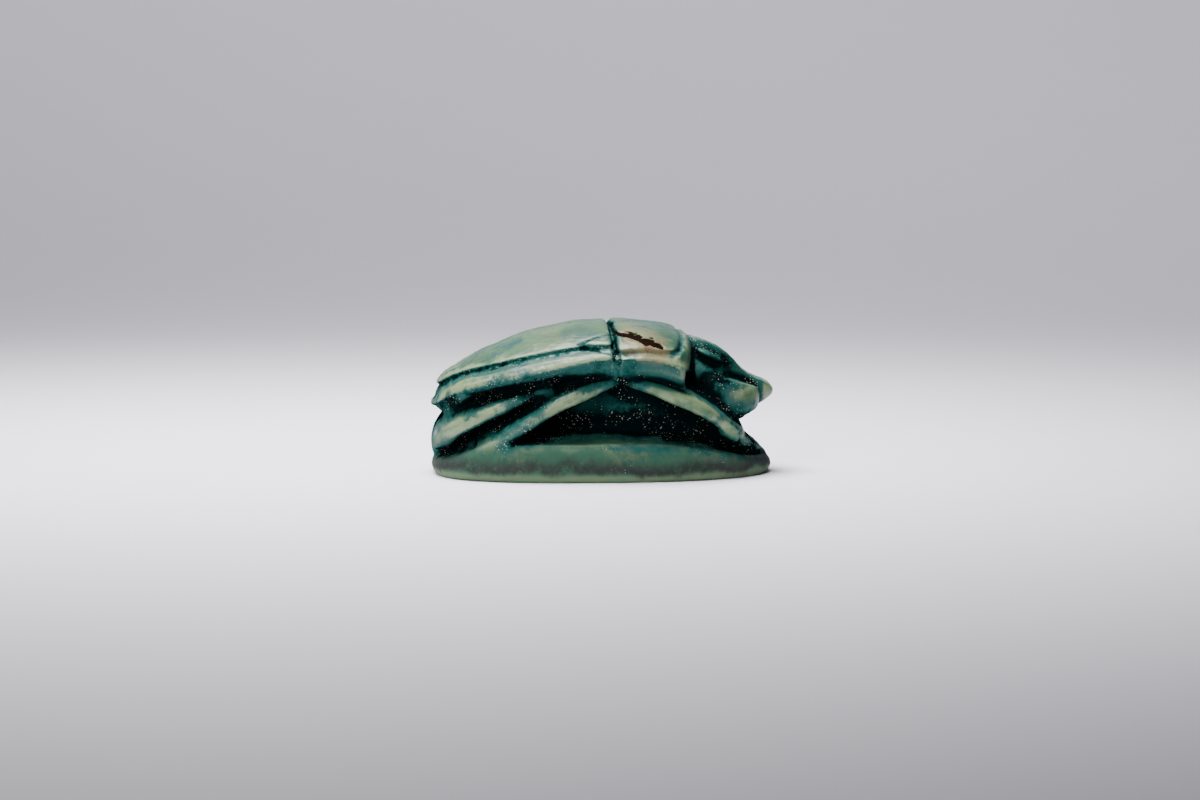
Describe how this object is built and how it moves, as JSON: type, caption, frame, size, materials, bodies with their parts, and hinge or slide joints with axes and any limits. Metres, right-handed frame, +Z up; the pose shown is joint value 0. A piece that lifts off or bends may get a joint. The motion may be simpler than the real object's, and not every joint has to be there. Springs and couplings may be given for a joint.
{
  "type": "scarab amulet",
  "caption": "Oval beetle amulet carved from one piece of glazed stone, with folded legs on a flat base and a hole lengthwise for a cord.",
  "frame": {"origin": "middle of the flat underside, under the centre of the bounding box", "axes": "+X from the tail towards the head, +Z up out of the back, +Y to the beetle's left side"},
  "size_m": [0.017, 0.012, 0.0076],
  "materials": {
    "glazed_steatite": "worn blue-green glaze over soapstone, deep teal in the hollows and pale on the ridges"
  },
  "bodies": {
    "root": {"scarab": "glazed_steatite"}
  },
  "joints": []
}
